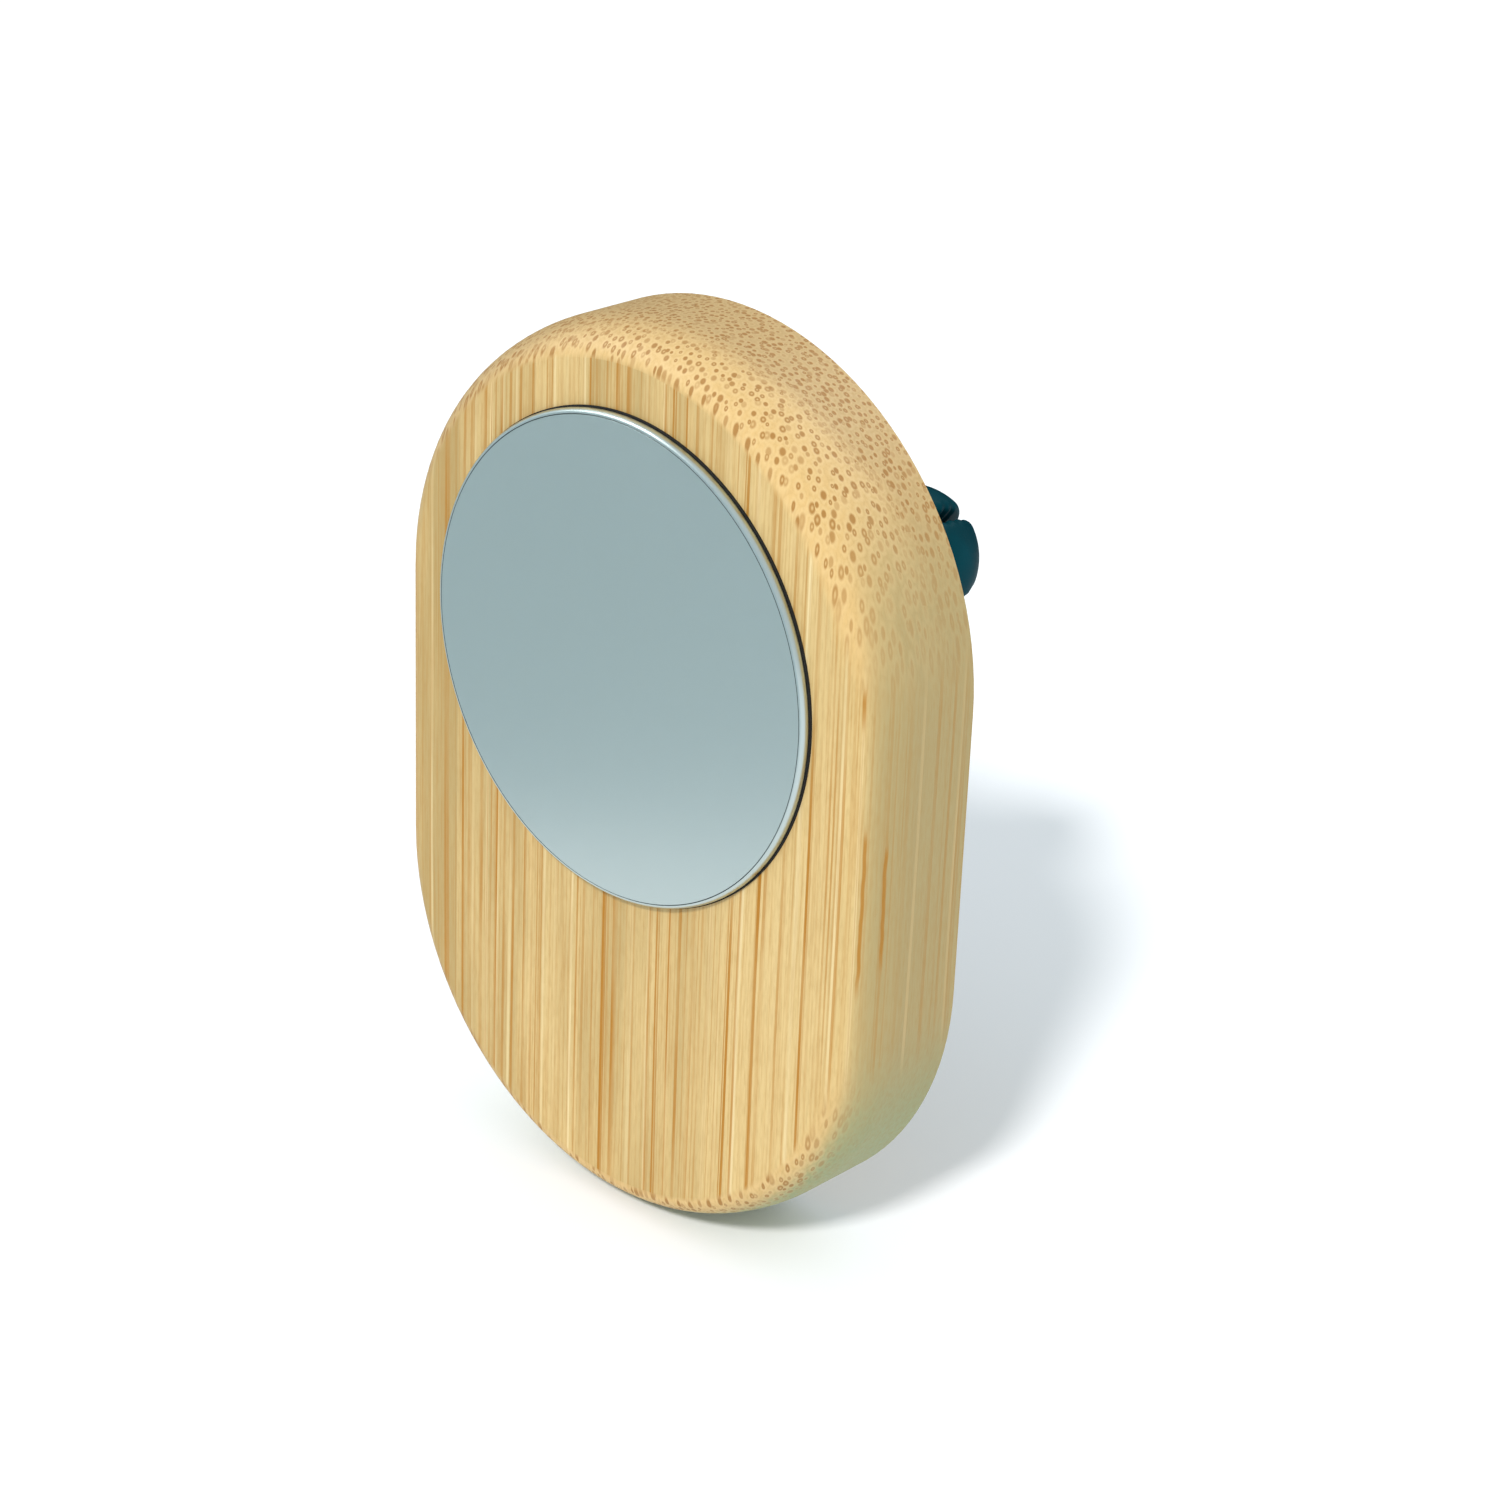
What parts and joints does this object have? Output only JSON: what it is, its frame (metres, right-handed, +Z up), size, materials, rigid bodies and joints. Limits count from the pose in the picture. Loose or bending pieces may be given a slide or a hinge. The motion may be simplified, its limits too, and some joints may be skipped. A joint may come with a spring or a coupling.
{
  "type": "vent clip holder with polished disc",
  "caption": "Stadium-shaped bamboo holder with a polished steel disc on its face, hidden magnets, and a rubber vent clip on a ball joint behind.",
  "frame": {"origin": "the middle of the clip's crossed blade slots, on the clip's axis, where a vent blade sits", "axes": "+Z up along the bamboo block's length, +Y backwards along the clip's axis into the vent, -Y out of the disc's face, +X to the viewer's right when facing the disc"},
  "size_m": [0.04, 0.0307, 0.0581],
  "materials": {
    "bamboo": "oiled laminated bamboo, vertical fibres",
    "polished_steel": "polished to a soft mirror",
    "adhesive": "black foam tape",
    "nickel_plate": "nickel plate",
    "zinc_plate": "zinc plate",
    "screw_steel": "black oxide",
    "stud_steel": "bright nickel plate",
    "inner_plastic": "natural moulded",
    "foam": "closed-cell foam",
    "nylon": "natural",
    "black_plastic": "fine moulded grain",
    "black_rubber": "soft satin, slightly green black"
  },
  "bodies": {
    "clip": {"clip_core": "black_plastic", "base_sleeve": "black_rubber", "preload_ring": "black_rubber"},
    "collar": {"collar_nut": "black_plastic"},
    "seat": {"ball_seat": "nylon"},
    "stud": {"ball_stud": "stud_steel"},
    "head": {"bamboo_body": "bamboo", "steel_disc": "polished_steel", "adhesive_pad": "adhesive", "magnets": "nickel_plate", "magnet_tray": "inner_plastic", "keeper_plate": "zinc_plate", "foam_spacer": "foam", "rear_cover": "black_plastic", "cover_screws": "screw_steel", "cup_spring": "zinc_plate", "friction_washer": "nylon"},
    "jaw_right": {"jaw_pad_right": "black_rubber", "jaw_core_right": "black_plastic"},
    "jaw_top": {"jaw_pad_top": "black_rubber", "jaw_core_top": "black_plastic"},
    "jaw_left": {"jaw_pad_left": "black_rubber", "jaw_core_left": "black_plastic"},
    "jaw_bottom": {"jaw_pad_bottom": "black_rubber", "jaw_core_bottom": "black_plastic"}
  },
  "joints": [
    {"name": "collar_turn", "type": "hinge", "parent": "clip", "child": "collar", "pos_m": [0, -0.01155, 0], "axis": [0, 1, 0], "range_deg": [0, 90]},
    {"name": "seat_spin", "type": "hinge", "parent": "clip", "child": "seat", "pos_m": [0, -0.01155, 0], "axis": [0, 1, 0], "continuous": true},
    {"name": "ball_tilt", "type": "hinge", "parent": "seat", "child": "stud", "pos_m": [0, -0.01155, 0], "axis": [1, 0, 0], "range_deg": [-20, 20]},
    {"name": "head_roll", "type": "hinge", "parent": "stud", "child": "head", "pos_m": [0, -0.01635, 0], "axis": [0, 1, 0], "continuous": true},
    {"name": "jaw_right_flex", "type": "hinge", "parent": "clip", "child": "jaw_right", "pos_m": [0.00586, -0.0041, 0.00072], "axis": [0.1219, 0, -0.9925], "range_deg": [0, 7], "stiffness_Nm_per_rad": 0.4},
    {"name": "jaw_top_flex", "type": "hinge", "parent": "clip", "child": "jaw_top", "pos_m": [-0.00072, -0.0041, 0.00586], "axis": [0.9925, 0, 0.1219], "range_deg": [0, 7], "stiffness_Nm_per_rad": 0.4},
    {"name": "jaw_left_flex", "type": "hinge", "parent": "clip", "child": "jaw_left", "pos_m": [-0.00586, -0.0041, -0.00072], "axis": [-0.1219, 0, 0.9925], "range_deg": [0, 7], "stiffness_Nm_per_rad": 0.4},
    {"name": "jaw_bottom_flex", "type": "hinge", "parent": "clip", "child": "jaw_bottom", "pos_m": [0.00072, -0.0041, -0.00586], "axis": [-0.9925, 0, -0.1219], "range_deg": [0, 7], "stiffness_Nm_per_rad": 0.4}
  ]
}
